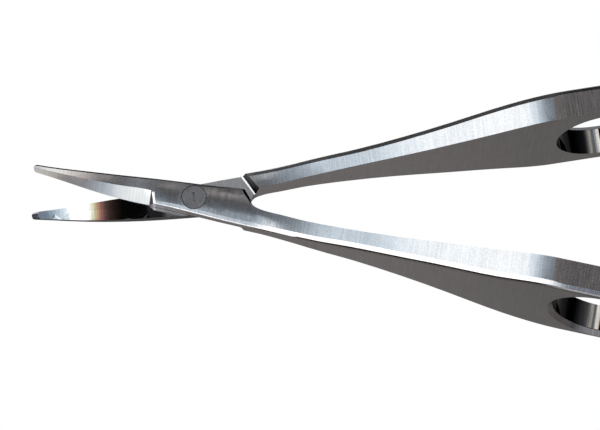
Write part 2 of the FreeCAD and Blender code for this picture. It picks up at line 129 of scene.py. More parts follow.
@dataclass(frozen=True)
class Fade:
    """A value that changes evenly while a reading runs between two limits."""

    follows: str         # name of the reading
    start: float
    end: float
    low: float = 0.0     # value up to the start
    high: float = 1.0    # value from the end on


LEVER_FADES = {
    # Places along the closed lever, counted from the screw's axis towards the tail.
    "blade": Fade("x", -3.0 * MM, -3.2 * MM),                         # in front of the notch
    "before_screw": Fade("x", -2.0 * MM, -2.5 * MM),
    "behind_screw": Fade("x", 0.6 * MM, 0.8 * MM),
    "before_step": Fade("x", 4.2 * MM, 4.6 * MM, 1.0, 0.0),           # the step at the lap's oblique end
    "behind_step": Fade("x", 4.2 * MM, 4.6 * MM),
    "toward_grip": Fade("x", 13.0 * MM, 25.0 * MM, 1.0, 0.72),        # the cheeks darken to the rear
    "grip": Fade("x", 25.2 * MM, 27.4 * MM),
    "notch_rim": Fade("beside_notch", -3.06 * MM, -2.86 * MM, -0.06, 0.0),    # height in millimetres
    # Leans of the surface, by its normal.
    "cheek": Fade("levelness", 0.70, 0.50),
    "land": Fade("levelness", 0.70, 0.50, 1.0, 0.0),
    "long_wall": Fade("levelness", 0.84, 0.92),
    "shear": Fade("normal_z", -0.7, -0.9),
    "bevel": Fade("normal_y", -0.20, -0.30),
    "front": Fade("normal_y", 0.0, -0.1),
    "back_edge": Fade("normal_y", 0.25, 0.45),
    "notch": Fade("normal_x", -0.6, -0.8),
    # Shades of the ground, by its textures.
    "ground": Fade("wide_lines", NOISE_LOW, NOISE_HIGH, 0.90, 1.06),
    "scoring": Fade("fine_lines", NOISE_LOW, NOISE_HIGH, 0.74, 1.20),
    "drift": Fade("clouds", NOISE_LOW, NOISE_HIGH, 0.95, 1.04),
    "speckle": Fade("grit", NOISE_LOW, NOISE_HIGH, 0.86, 1.10),
}

# Grounds that only several of the fades and tests together pick out.
LEVER_MASKS = {
    "honed_bevel": ("bevel", "blade"),
    "honed_shear": ("shear", "before_screw"),
    # the blade's back edge, which gets painted shade
    "blade_back": ("back_edge", "before_step"),
    # second eased facet, which gets painted shade before the grip
    "corner": ("leaning", "behind_step", "past_rim"),
    "joint_flat": ("shear", "behind_screw", "before_step"),
    "grip_land": ("land", "grip"),
}


@dataclass(frozen=True)
class GrindLines:
    """Fine parallel scratches that a belt leaves in steel."""

    pitch: float          # mean distance between lines, drawn coarse enough to show
    length: float         # how far one line runs
    depth: float          # strength of the relief

    @property
    def across(self) -> float:
        """Noise cells per metre across the lines."""
        return 1.0 / self.pitch

    @property
    def along(self) -> float:
        """Noise cells per metre along the lines."""
        return 1.0 / self.length


@dataclass(frozen=True)
class ForgedSteel:
    """Martensitic stainless steel of a lever: satin lands, belt-ground cheeks, honed blade.

    The eye gets dark mirror-like tops, warm grey cheeks with lines across them, and bright edges. Painted
    shade darkens the blade's back edge, the notch and step, the slot's round ends, a thin facet line, the
    grip's lands and partly the cheeks.
    """

    side: Side
    land: str = "#c6c5c6"                   # fine satin of lands, lap and blade back
    cheek: str = "#8a8482"                  # belt-ground broad faces: warm from their rougher ground, and darker than the steel as painted shade for the dim floor they mirror
    back_edge_shade: str = "#3b3837"                 # eased back edge, painted dark as shade along the blade's back
    notch: str = "#1c1a19"                  # wall of the notch and of the step, painted black as shade in the step
    honed: str = "#d2d3d6"                  # honed bevel and shear face
    wall: str = "#98948f"                   # long walls of the slot, drawn smooth with a file
    slot_shade: str = "#1a1817"               # round ends of the slot, painted dark as shade inside the hole
    grip_shade: str = "#9a9ba1"                # level lands of the grip, scored, and painted darker as shade for the dark they mirror
    corner: str = "#2c2624"                 # second eased facet, painted as a thin brown-black line of shade before the grip
    land_roughness: float = 0.20
    flat_roughness: float = 0.31            # flat of the joint, ground with a coarser wheel
    cheek_roughness: float = 0.34
    honed_roughness: float = 0.05
    wall_roughness: float = 0.07
    shear_scoring: float = 0.6              # share of the grip's scoring that the shear face has too
    corner_lean: float = 0.57               # levelness of the second eased facet
    corner_spread: float = 0.12
    notch_slant: float = 0.25               # lean of the notch, forward for each distance to the side
    slot_middle: float = 35.8 * MM          # middle of the handle's slot behind the screw
    slot_straight: float = 5.8 * MM         # half of the slot's straight run
    wall_reach: float = 3.63 * MM           # just past the slot's walls
    rim_reach: float = 3.98 * MM            # just past the slot's chamfer
    cloud_size: float = 1.1 * MM
    grit_size: float = 0.10 * MM            # drawn coarser than a wheel's grit, so that it shows
    lines: GrindLines = GrindLines(pitch=0.11 * MM, length=3.5 * MM, depth=0.0014 * MM)
    blade_lines: GrindLines = GrindLines(pitch=0.07 * MM, length=1.5 * MM, depth=0.0003 * MM)

    def build(self) -> Material:
        """Builds the lever's material.

        Returns:
            The material, patterned in the lever's own closed stance.
        """
        material, tree = new_material(f"stainless_{self.side.value}")
        values = self.read_surface(tree)
        self.add_masks(tree, values)
        surface = add(tree, "ShaderNodeBsdfPrincipled", {
            "Base Color": self.paint(tree, values),
            "Metallic": 1.0,
            "Roughness": self.roughness(tree, values),
            "Normal": self.relief(tree, values),
        })
        add(tree, "ShaderNodeOutputMaterial", {"Surface": surface.outputs["BSDF"]})
        return material

    def read_surface(self, tree: Tree) -> dict[str, Socket]:
        """Reads place, lean and texture of the surface in the lever's closed stance.

        Both levers read alike there, because the lower one is the upper one turned over.

        Args:
            tree: The material's node tree.

        Returns:
            The readings by name.
        """
        flip = -self.side.sign
        closed = Matrix.Rotation(OPEN_TURN, 3, "Z") @ Matrix.Diagonal((1.0, flip, flip))
        stance = {"Rotation": (0.0, 0.0, OPEN_TURN), "Scale": (1.0, flip, flip)}
        coordinates = add(tree, "ShaderNodeTexCoord").outputs
        place = add(tree, "ShaderNodeMapping", {
            "Vector": coordinates["Object"], "Location": -(closed @ PIVOT), **stance,
        }, vector_type="POINT").outputs["Vector"]
        facing = add(tree, "ShaderNodeMapping", {
            "Vector": coordinates["Normal"], **stance,
        }, vector_type="VECTOR").outputs["Vector"]
        along = add(tree, "ShaderNodeSeparateXYZ", {"Vector": place}).outputs
        normal = add(tree, "ShaderNodeSeparateXYZ", {"Vector": facing}).outputs
        levelness = add(tree, "ShaderNodeMath", {0: normal["Z"]}, operation="ABSOLUTE")
        beside_notch = add(tree, "ShaderNodeMath", {
            0: along["Y"], 1: self.notch_slant, 2: along["X"],
        }, operation="MULTIPLY_ADD")
        values = {
            "x": along["X"],
            "beside_notch": beside_notch.outputs[0],
            "reach": self.reach_from_slot(tree, along["X"], along["Z"]),
            "levelness": levelness.outputs[0],
            "normal_x": normal["X"],
            "normal_y": normal["Y"],
            "normal_z": normal["Z"],
            "wide_lines": self.line_noise(tree, place, self.lines),
            "fine_lines": self.line_noise(tree, place, self.blade_lines),
        }
        for name, grain, detail in (("clouds", self.cloud_size, 3.0), ("grit", self.grit_size, 2.0)):
            noise = add(tree, "ShaderNodeTexNoise", {
                "Vector": place, "Scale": 1.0 / grain, "Detail": detail, "Roughness": 0.6,
            })
            values[name] = noise.outputs["Fac"]
        return values

    def reach_from_slot(self, tree: Tree, x: Socket, z: Socket) -> Socket:
        """Measures from the middle line of the handle's slot, seen from the side.

        Args:
            tree: The material's node tree.
            x: Place along the lever.
            z: Height over its middle.

        Returns:
            The distance, half the slot's width on its walls.
        """
        steps = (
            ("SUBTRACT", self.slot_middle), ("ABSOLUTE", 0.0),
            ("SUBTRACT", self.slot_straight), ("MAXIMUM", 0.0),
        )
        past = x
        for operation, amount in steps:
            past = add(tree, "ShaderNodeMath", {0: past, 1: amount}, operation=operation).outputs[0]
        height = add(tree, "ShaderNodeMath", {0: z}, operation="ABSOLUTE")
        away = add(tree, "ShaderNodeCombineXYZ", {"X": past, "Y": height.outputs[0]})
        reach = add(tree, "ShaderNodeVectorMath", {0: away.outputs["Vector"]}, operation="LENGTH")
        return reach.outputs["Value"]

    def line_noise(self, tree: Tree, place: Socket, lines: GrindLines) -> Socket:
        """Draws grinding lines across the lever.

        Args:
            tree: The material's node tree.
            place: Place in the lever's closed stance.
            lines: Spacing and length of the lines.

        Returns:
            The lines' strength.
        """
        stretch = add(tree, "ShaderNodeMapping", {
            "Vector": place, "Scale": (lines.across, lines.along, lines.along),
        })
        return add(tree, "ShaderNodeTexNoise", {
            "Vector": stretch.outputs["Vector"], "Scale": 1.0, "Detail": 2.0, "Roughness": 0.5,
        }).outputs["Fac"]

    def add_masks(self, tree: Tree, values: dict[str, Socket]) -> None:
        """Adds the fades and masks that tell the grounds apart.

        Args:
            tree: The material's node tree.
            values: Readings of the surface, which get the fades and masks.
        """
        for name, fade in LEVER_FADES.items():
            values[name] = add(tree, "ShaderNodeMapRange", {
                "Value": values[fade.follows],
                "From Min": fade.start, "From Max": fade.end, "To Min": fade.low, "To Max": fade.high,
            }).outputs["Result"]
        tests = (
            ("slot_wall", "LESS_THAN", {0: values["reach"], 1: self.wall_reach}),
            ("past_rim", "GREATER_THAN", {0: values["reach"], 1: self.rim_reach}),
            ("leaning", "COMPARE", {0: values["levelness"], 1: self.corner_lean, 2: self.corner_spread}),
        )
        for name, test, inputs in tests:
            values[name] = add(tree, "ShaderNodeMath", inputs, operation=test).outputs[0]
        for name, (first, *others) in LEVER_MASKS.items():
            values[name] = values[first]
            for other in others:
                values[name] = add(tree, "ShaderNodeMath", {
                    0: values[name], 1: values[other],
                }, operation="MULTIPLY").outputs[0]
        values["honed"] = add(tree, "ShaderNodeMath", {
            0: values["honed_bevel"], 1: values["honed_shear"],
        }, operation="MAXIMUM").outputs[0]

    def paint(self, tree: Tree, values: dict[str, Socket]) -> Socket:
        """Lays the colours of the grounds over each other and shades them.

        Args:
            tree: The material's node tree.
            values: Readings, fades and masks.

        Returns:
            The colour.
        """
        grounds = {}
        pairs = (
            # level lands of the grip: painted darker as shade
            ("land", "grip", self.land, self.grip_shade),
            # second eased facet: painted shade before the grip, honed colour in it
            ("corner", "grip", self.corner, self.honed),
            # the slot's round ends: painted shade; its long walls: their own filed colour
            ("slot_wall", "long_wall", self.slot_shade, self.wall),
        )
        for name, mask, first, second in pairs:
            grounds[name] = add(tree, "ShaderNodeMix", {
                0: values[mask], 6: linear(first), 7: linear(second),
            }, data_type="RGBA").outputs[2]
        # cheek colour: the steel's own warm tone, darkened as painted shade
        cheek = add(tree, "ShaderNodeVectorMath", {
            0: linear(self.cheek)[:3], "Scale": values["toward_grip"],
        }, operation="SCALE")
        layers = (
            ("cheek", cheek.outputs["Vector"]),
            # second eased facet: painted shade
            ("corner", grounds["corner"]),
            ("honed", linear(self.honed)),
            # walls of the slot, with painted shade on the round ends
            ("slot_wall", grounds["slot_wall"]),
            # the blade's back edge: painted shade
            ("blade_back", linear(self.back_edge_shade)),
            # walls of the notch and of the step: painted shade
            ("notch", linear(self.notch)),
        )
        tint = grounds["land"]
        for mask, ground in layers:
            tint = add(tree, "ShaderNodeMix", {
                0: values[mask], 6: tint, 7: ground,
            }, data_type="RGBA").outputs[2]
        return add(tree, "ShaderNodeVectorMath", {
            0: tint, "Scale": self.shading(tree, values),
        }, operation="SCALE").outputs["Vector"]

    def shading(self, tree: Tree, values: dict[str, Socket]) -> Socket:
        """Works out how lines, clouds and specks lighten or darken the ground.

        Args:
            tree: The material's node tree.
            values: Readings, fades and masks.

        Returns:
            A factor for the colour.
        """
        scored = add(tree, "ShaderNodeMath", {
            0: values["honed_shear"], 1: self.shear_scoring, 2: values["grip_land"],
        }, operation="MULTIPLY_ADD", use_clamp=True)
        lined = add(tree, "ShaderNodeMix", {
            0: scored.outputs[0], 2: values["ground"], 3: values["scoring"],
        })
        speckle = add(tree, "ShaderNodeMix", {0: values["honed"], 2: values["speckle"], 3: 1.0})
        amount = lined.outputs[0]
        for factor in (values["drift"], speckle.outputs[0]):
            amount = add(tree, "ShaderNodeMath", {0: amount, 1: factor}, operation="MULTIPLY").outputs[0]
        return amount

    def roughness(self, tree: Tree, values: dict[str, Socket]) -> Socket:
        """Lays the grounds' roughness over each other.

        Args:
            tree: The material's node tree.
            values: Readings, fades and masks.

        Returns:
            The roughness.
        """
        layers = (
            ("cheek", self.cheek_roughness),
            ("honed", self.honed_roughness),
            ("joint_flat", self.flat_roughness),
            ("slot_wall", self.wall_roughness),
        )
        rough = self.land_roughness
        for mask, value in layers:
            rough = add(tree, "ShaderNodeMix", {0: values[mask], 2: rough, 3: value}).outputs[0]
        return rough

    def relief(self, tree: Tree, values: dict[str, Socket]) -> Socket:
        """Cuts the grinding lines and rounds the rim beside the notch.

        Args:
            tree: The material's node tree.
            values: Readings, fades and masks.

        Returns:
            The bent normal.
        """
        heights = []
        for name, lines in (("wide_lines", self.lines), ("fine_lines", self.blade_lines)):
            heights.append(add(tree, "ShaderNodeMath", {
                0: values[name], 1: lines.depth / MM,
            }, operation="MULTIPLY").outputs[0])
        ground = add(tree, "ShaderNodeMix", {0: values["before_step"], 2: heights[0], 3: heights[1]})
        rounded = add(tree, "ShaderNodeMath", {
            0: values["notch_rim"], 1: values["front"], 2: ground.outputs[0],
        }, operation="MULTIPLY_ADD")
        return add(tree, "ShaderNodeBump", {
            "Height": rounded.outputs[0], "Strength": 1.0, "Distance": MM,
        }).outputs["Normal"]


@dataclass(frozen=True)
class TurnedSteel:
    """Turned free-cutting stainless of screw and rivets: matt grey, and on the screw a darker rim of
    painted shade in the gap round its head.
    """

    name: str
    face: str
    roughness: float
    # rim colour: painted shade in the gap between the screw's head and the lever
    rim: str | None = None
    rim_radius: float = 0.0
    rim_width: float = 0.05 * MM
    roughness_swing: float = 0.2        # from the smoothest to the roughest speck
    darkest: float = 0.80               # factors of the colour for the darkest and the lightest speck
    lightest: float = 1.13
    grit_size: float = 0.12 * MM        # drawn coarser than turning marks, so that it shows

    def build(self, centre: Vector) -> Material:
        """Builds the material round an upright axis.

        Args:
            centre: A point on that axis.

        Returns:
            The material.
        """
        material, tree = new_material(self.name)
        coordinates = add(tree, "ShaderNodeTexCoord").outputs
        place = add(tree, "ShaderNodeMapping", {
            "Vector": coordinates["Object"], "Location": -centre,
        }, vector_type="POINT").outputs["Vector"]
        grit = add(tree, "ShaderNodeTexNoise", {
            "Vector": place, "Scale": 1.0 / self.grit_size, "Detail": 4.0, "Roughness": 0.65,
        }).outputs["Fac"]
        shade = add(tree, "ShaderNodeMapRange", {
            "Value": grit, "From Min": NOISE_LOW, "From Max": NOISE_HIGH,
            "To Min": self.darkest, "To Max": self.lightest,
        })
        colour = add(tree, "ShaderNodeVectorMath", {
            0: self.tint(tree, place), "Scale": shade.outputs["Result"],
        }, operation="SCALE")
        rough = add(tree, "ShaderNodeMath", {
            0: grit, 1: self.roughness_swing, 2: self.roughness - self.roughness_swing / 2,
        }, operation="MULTIPLY_ADD")
        surface = add(tree, "ShaderNodeBsdfPrincipled", {
            "Base Color": colour.outputs["Vector"], "Metallic": 1.0, "Roughness": rough.outputs[0],
        })
        add(tree, "ShaderNodeOutputMaterial", {"Surface": surface.outputs["BSDF"]})
        return material

    def tint(self, tree: Tree, place: Socket) -> Socket | tuple[float, ...]:
        """Gives the face's colour, with the rim of painted shade round it where there is one.

        Args:
            tree: The material's node tree.
            place: Place from the axis.

        Returns:
            The colour before it is shaded.
        """
        if self.rim is None:
            return linear(self.face)[:3]
        flat = add(tree, "ShaderNodeVectorMath", {0: place, 1: (1.0, 1.0, 0.0)}, operation="MULTIPLY")
        radius = add(tree, "ShaderNodeVectorMath", {0: flat.outputs["Vector"]}, operation="LENGTH")
        outer = add(tree, "ShaderNodeMapRange", {
            "Value": radius.outputs["Value"],
            "From Min": self.rim_radius - self.rim_width, "From Max": self.rim_radius,
        })
        return add(tree, "ShaderNodeMix", {
            0: outer.outputs["Result"], 6: linear(self.face), 7: linear(self.rim),
        }, data_type="RGBA").outputs[2]


RIVET_STEEL = TurnedSteel("rivet_stainless", face="#b4b3b2", roughness=0.30)
# the screw's rim is painted shade in the gap round its head
SCREW_STEEL = TurnedSteel(
    "screw_stainless", face="#8c8b8c", roughness=0.36, rim="#615e5d", rim_radius=0.87 * MM,
)


@dataclass(frozen=True)
class StripSteel:
    """Cold-rolled spring steel strip: bright satin with lines along its length."""

    name: str = "rolled_spring_strip"
    tint: str = "#c4c3c2"
    roughness: float = 0.27
    roughness_swing: float = 0.16       # from the smoothest to the roughest line
    darkest: float = 0.86               # factors of the colour for the darkest and the lightest line
    lightest: float = 1.05
    lines: GrindLines = GrindLines(pitch=0.14 * MM, length=6.0 * MM, depth=0.0016 * MM)

    def build(self) -> Material:
        """Builds the strip's material.

        Returns:
            The material.
        """
        material, tree = new_material(self.name)
        coordinates = add(tree, "ShaderNodeTexCoord").outputs
        stretch = add(tree, "ShaderNodeMapping", {
            "Vector": coordinates["Object"],
            "Scale": (self.lines.along, self.lines.along, self.lines.across),
        })
        grain = add(tree, "ShaderNodeTexNoise", {
            "Vector": stretch.outputs["Vector"], "Scale": 1.0, "Detail": 3.0,
        }).outputs["Fac"]
        shade = add(tree, "ShaderNodeMapRange", {
            "Value": grain, "From Min": NOISE_LOW, "From Max": NOISE_HIGH,
            "To Min": self.darkest, "To Max": self.lightest,
        })
        colour = add(tree, "ShaderNodeVectorMath", {
            0: linear(self.tint)[:3], "Scale": shade.outputs["Result"],
        }, operation="SCALE")
        rough = add(tree, "ShaderNodeMath", {
            0: grain, 1: self.roughness_swing, 2: self.roughness - self.roughness_swing / 2,
        }, operation="MULTIPLY_ADD")
        bump = add(tree, "ShaderNodeBump", {"Height": grain, "Strength": 1.0, "Distance": self.lines.depth})
        surface = add(tree, "ShaderNodeBsdfPrincipled", {
            "Base Color": colour.outputs["Vector"], "Metallic": 1.0,
            "Roughness": rough.outputs[0], "Normal": bump.outputs["Normal"],
        })
        add(tree, "ShaderNodeOutputMaterial", {"Surface": surface.outputs["BSDF"]})
        return material


@dataclass
class LeafSpring:
    """One flat leaf from its seat in the handle to the riveted tail."""

    side: Side
    seat_start: float = 46.6 * MM      # this and the next five are distances behind the screw
    taper_start: float = 52.6 * MM
    bend_start: float = 53.2 * MM
    tail_start: float = 85.5 * MM
    end: float = 91.0 * MM
    blend_end: float = 80.8 * MM       # a distance behind the screw too
    root_radius: float = 30.0 * MM     # bends of the leaf's middle line
    tail_radius: float = 24.0 * MM
    thickness: float = 0.5 * MM
    root_height: float = 5.6 * MM
    tail_height: float = 4.4 * MM
    edge_round: float = 0.10 * MM
    edge_facets: int = 3
    bend_steps: int = 14
    tail_steps: int = 12
    tip_share: float = 0.999           # stops just short of the tip, where the strip has no height left
    seat_offset: float = field(init=False)

    def __post_init__(self) -> None:
        """Takes the seat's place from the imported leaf."""
        low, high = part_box(self.node)
        far = high[1] if self.side is Side.LOWER else -low[1]
        self.seat_offset = far - self.thickness / 2

    @property
    def node(self) -> str:
        """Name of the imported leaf."""
        return f"{self.side.value}_spring"

    def route(self) -> list[Vector]:
        """Middle line of the leaf: seat, bend, straight, bend back, tail.

        Returns:
            Points in the frame, from the seat to the tail.
        """
        tail_offset = self.thickness / 2
        run = self.tail_start - self.bend_start
        radii = self.root_radius + self.tail_radius
        left = radii - (self.seat_offset - tail_offset)
        straight = math.sqrt(run ** 2 + left ** 2 - radii ** 2)
        turn = math.atan2(run, left) - math.atan2(straight, radii)
        angles = [turn * index / self.bend_steps for index in range(self.bend_steps + 1)]
        flat = [(self.seat_start, self.seat_offset), (self.taper_start, self.seat_offset)]
        for angle in angles:
            flat.append((self.bend_start + self.root_radius * math.sin(angle),
                         self.seat_offset - self.root_radius * (1 - math.cos(angle))))
        for angle in reversed(angles):
            flat.append((self.tail_start - self.tail_radius * math.sin(angle),
                         tail_offset + self.tail_radius * (1 - math.cos(angle))))
        half_tail = self.tail_height / 2
        for index in range(self.tail_steps + 1):
            angle = math.pi / 2 * index / self.tail_steps
            flat.append((self.end - half_tail + half_tail * math.sin(angle) * self.tip_share, tail_offset))
        return [Vector((PIVOT.x + x, self.side.sign * y, PIVOT.z)) for x, y in flat]

    def tree(self, material: Material) -> Tree:
        """Geometry nodes that draw the strip along its route and taper it to the round tail.

        Args:
            material: The strip's finish.

        Returns:
            The node tree.
        """
        tree = bpy.data.node_groups.new("leaf_strip", "GeometryNodeTree")
        face = tree.interface
        face.new_socket("Geometry", in_out="INPUT", socket_type="NodeSocketGeometry")
        for name in self.sizes():
            face.new_socket(name, in_out="INPUT", socket_type="NodeSocketFloat")
        face.new_socket("Geometry", in_out="OUTPUT", socket_type="NodeSocketGeometry")
        given = add(tree, "NodeGroupInput").outputs
        profile = add(tree, "GeometryNodeCurvePrimitiveQuadrilateral", {
            "Width": given["Thickness"], "Height": given["Root Height"],
        })
        rounded = add(tree, "GeometryNodeFilletCurve", {
            "Curve": profile.outputs["Curve"], "Radius": given["Edge Round"], "Count": self.edge_facets,
        }, mode="POLY")
        upright = add(tree, "GeometryNodeSetCurveNormal", {"Curve": given["Geometry"]}, mode="Z_UP")
        strip = add(tree, "GeometryNodeCurveToMesh", {
            "Curve": upright.outputs["Curve"], "Profile Curve": rounded.outputs["Curve"], "Fill Caps": True,
        })
        tapered = add(tree, "GeometryNodeSetPosition", {
            "Geometry": strip.outputs["Mesh"], "Position": self.tapered_place(tree, given),
        })
        solid = add(tree, "GeometryNodeRealizeInstances", {"Geometry": tapered.outputs["Geometry"]})
        dressed = add(tree, "GeometryNodeSetMaterial", {
            "Geometry": solid.outputs["Geometry"], "Material": material,
        })
        add(tree, "NodeGroupOutput", {"Geometry": dressed.outputs["Geometry"]})
        return tree

    def tapered_place(self, tree: Tree, given: bpy.types.bpy_prop_collection) -> Socket:
        """Lowers the strip to its height at each place: an even taper, then the round tail.

        Args:
            tree: The strip's node tree.
            given: The tree's inputs.

        Returns:
            Each point's new place.
        """
        position = add(tree, "GeometryNodeInputPosition")
        parts = add(tree, "ShaderNodeSeparateXYZ", {"Vector": position.outputs["Position"]}).outputs
        height = add(tree, "ShaderNodeMapRange", {
            "Value": parts["X"], "From Min": given["Taper Start"], "From Max": given["Tail End"],
            "To Min": given["Root Height"], "To Max": given["Tail Height"],
        })
        half_tail = add(tree, "ShaderNodeMath", {
            0: given["Tail Height"], 1: 0.5,
        }, operation="MULTIPLY").outputs[0]
        centre = add(tree, "ShaderNodeMath", {0: given["Tail End"], 1: half_tail}, operation="SUBTRACT")
        past = parts["X"]
        for operation, amount in (("SUBTRACT", centre.outputs[0]), ("MAXIMUM", 0.0), ("DIVIDE", half_tail)):
            past = add(tree, "ShaderNodeMath", {0: past, 1: amount}, operation=operation).outputs[0]
        square = add(tree, "ShaderNodeMath", {0: past, 1: past}, operation="MULTIPLY")
        left = add(tree, "ShaderNodeMath", {0: 1.0, 1: square.outputs[0]}, operation="SUBTRACT")
        factor = left.outputs[0]
        steps = (
            ("MAXIMUM", 0.0), ("SQRT", 0.0), ("MULTIPLY", height.outputs["Result"]),
            ("DIVIDE", given["Root Height"]),
        )
        for operation, amount in steps:
            factor = add(tree, "ShaderNodeMath", {0: factor, 1: amount}, operation=operation).outputs[0]
        above = add(tree, "ShaderNodeMath", {0: parts["Z"], 1: PIVOT.z}, operation="SUBTRACT")
        level = add(tree, "ShaderNodeMath", {
            0: above.outputs[0], 1: factor, 2: PIVOT.z,
        }, operation="MULTIPLY_ADD")
        return add(tree, "ShaderNodeCombineXYZ", {
            "X": parts["X"], "Y": parts["Y"], "Z": level.outputs[0],
        }).outputs["Vector"]

    def sizes(self) -> dict[str, float]:
        """Lists what the strip's node tree needs to know.

        Returns:
            Values of the tree's inputs by name.
        """
        return {
            "Thickness": self.thickness,
            "Root Height": self.root_height,
            "Tail Height": self.tail_height,
            "Taper Start": PIVOT.x + self.taper_start,
            "Tail End": PIVOT.x + self.end,
            "Edge Round": self.edge_round,
        }

    def build(self, material: Material) -> bpy.types.Object:
        """Makes the leaf's mesh along its route from its lever to the tail, and hides the imported leaf.

        Args:
            material: The strip's finish.

        Returns:
            The leaf.
        """
        points = self.route()
        curve = bpy.data.curves.new("leaf_route", "CURVE")
        curve.dimensions = "3D"
        spline = curve.splines.new("POLY")
        spline.points.add(len(points) - 1)
        for point, place in zip(spline.points, points):
            point.co = (*place, 1.0)
        maker = bpy.data.objects.new("leaf_route", curve)
        bpy.context.scene.collection.objects.link(maker)
        modifier = maker.modifiers.new("leaf_strip", "NODES")
        modifier.node_group = self.tree(material)
        sizes = self.sizes()
        for item in modifier.node_group.interface.items_tree:
            if item.in_out == "INPUT" and item.name in sizes:
                modifier[item.identifier] = sizes[item.name]
        bpy.context.view_layer.update()
        graph = bpy.context.evaluated_depsgraph_get()
        mesh = bpy.data.meshes.new_from_object(maker.evaluated_get(graph))
        maker.modifiers.remove(modifier)
        bpy.data.objects.remove(maker)
        leaf = bpy.data.objects.new(f"{self.side.value}_leaf", mesh)
        bpy.context.scene.collection.objects.link(leaf)
        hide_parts(self.node)
        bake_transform(leaf)
        return leaf


@dataclass
class Lever:
    """One forged lever with its rivets, as the frame carries it."""

    side: Side

    def dress(self, rivet_finish: Material) -> list[bpy.types.Object]:
        """Gives the lever and its rivets their finishes.

        Args:
            rivet_finish: Material of the rivets.

        Returns:
            The dressed objects.
        """
        lever = frame["nodes"][self.side.value]
        rivets = frame["nodes"][f"{self.side.value}_rivets"]
        put_material(lever, ForgedSteel(self.side).build())
        put_material(rivets, rivet_finish)
        return [lever, rivets]


@dataclass(frozen=True)
class Band:
    """One strip of the surroundings, coloured from left to right."""

    name: str
    lean: tuple[float, float]                  # where it fades in: 0 is what a level face mirrors to
                                               # the camera, 1 what one mirrors that faces the viewer
    colours: tuple[tuple[float, str], ...]     # place from -1 at the left to 1 at the right

    def fill(self, ramp: bpy.types.ColorRamp) -> None:
        """Gives a colour ramp the band's colours.

        Args:
            ramp: A new ramp, with two stops.
        """
        while len(ramp.elements) < len(self.colours):
            ramp.elements.new(1.0)
        for element, (place, colour) in zip(ramp.elements, self.colours):
            element.position = (place + 1) / 2
            element.color = linear(colour)


# The light round the object, from behind it over the top to the viewer. Polished steel shows only what
# surrounds it, so the bands are as uneven as a room with a bright window beside dark walls.
SURROUNDINGS = (
    Band("far wall", (-1.00, -1.00), (
        (-1.0, "#161312"), (-0.24, "#161312"), (-0.16, "#3f3d3f"), (-0.1, "#343232"), (0.0, "#1e1b1a"),
        (1.0, "#17181c"),
    )),
    Band("high wall", (-0.62, -0.52), (
        (-1.0, "#b1b5b9"), (-0.3, "#a6aaae"), (-0.12, "#92969a"), (-0.09, "#84878b"), (-0.06, "#2c2a2a"),
        (0.1, "#2c2a2a"), (1.0, "#121316"),
    )),
    Band("rear", (-0.40, -0.32), (
        (-1.0, "#6e6f72"), (-0.4, "#d9dbdd"), (-0.32, "#b0bec8"), (-0.27, "#8a969f"), (-0.2, "#727b83"),
        (-0.155, "#687078"), (-0.115, "#353539"), (-0.04, "#3b3c3f"), (0.02, "#46474a"), (0.06, "#7d7572"),
        (0.1, "#b0a8a3"), (0.135, "#dddbd7"), (0.28, "#dddddd"), (0.36, "#a2a3a6"), (0.45, "#4b4c50"),
        (0.6, "#121316"), (1.0, "#030407"),
    )),
    Band("overhead", (-0.19, -0.13), (
        (-1.0, "#e1e3e3"), (-0.36, "#e1e3e3"), (-0.32, "#cfdee7"), (-0.285, "#bacad5"), (-0.265, "#939faa"),
        (-0.23, "#88939c"), (-0.16, "#767f88"), (-0.1, "#4f5053"), (-0.06, "#313235"), (-0.03, "#020202"),
        (0.054, "#020202"), (0.079, "#1a120e"), (0.104, "#332826"), (0.117, "#6c4442"), (0.129, "#8c6154"),
        (0.142, "#a4a173"), (0.155, "#c3c4b8"), (0.172, "#ffffff"), (0.225, "#ffffff"), (0.234, "#bcc7c6"),
        (0.262, "#95a0aa"), (0.289, "#616f7a"), (0.303, "#5b606c"), (0.35, "#656664"), (0.39, "#a3a19a"),
        (0.45, "#989b9d"), (0.52, "#5f6063"), (0.6, "#404144"), (0.81, "#232428"), (1.0, "#121316"),
    )),
    Band("low front", (0.06, 0.12), (
        (-1.0, "#dddfe1"), (-0.39, "#dddfe1"), (-0.345, "#beced9"), (-0.3, "#b9c8d3"), (-0.27, "#a6b4be"),
        (-0.24, "#4d565e"), (-0.2, "#353a3f"), (-0.15, "#3a4047"), (-0.1, "#535861"), (-0.06, "#404348"),
        (-0.015, "#161617"), (0.054, "#0f0e0f"), (0.1, "#322e2e"), (0.15, "#515255"), (0.22, "#5f656c"),
        (0.32, "#61656c"), (0.37, "#7e7e7b"), (0.41, "#aeaca5"), (0.47, "#9fa3a5"), (0.55, "#515254"),
        (1.0, "#232428"),
    )),
    Band("front", (0.26, 0.36), (
        (-1.0, "#ffffff"), (-0.3, "#ffffff"), (-0.22, "#d0d5d8"), (-0.16, "#98a6b1"), (-0.13, "#8698a6"),
        (-0.11, "#8d9faa"), (-0.085, "#707780"), (-0.06, "#535861"), (0.0, "#424347"), (0.1, "#56575b"),
        (0.3, "#919195"), (1.0, "#656669"),
    )),
    Band("panel", (0.64, 0.76), (
        (-1.0, "#ffffff"), (-0.2, "#ffffff"), (-0.13, "#98a3ae"), (-0.09, "#48494f"), (0.4, "#48494c"),
        (1.0, "#313235"),
    )),
    Band("foreground", (0.90, 0.95), (
        (-1.0, "#c2c2c2"), (-0.4, "#c2c3c1"), (-0.27, "#bfc1bf"), (-0.238, "#b0b3b3"), (-0.222, "#8d9399"),
        (-0.2, "#7b7e83"), (-0.17, "#666567"), (-0.145, "#787370"), (-0.11, "#8f8b85"), (-0.05, "#95928d"),
        (0.1, "#888888"), (0.4, "#a1a1a1"), (1.0, "#5f5f5f"),
    )),
)


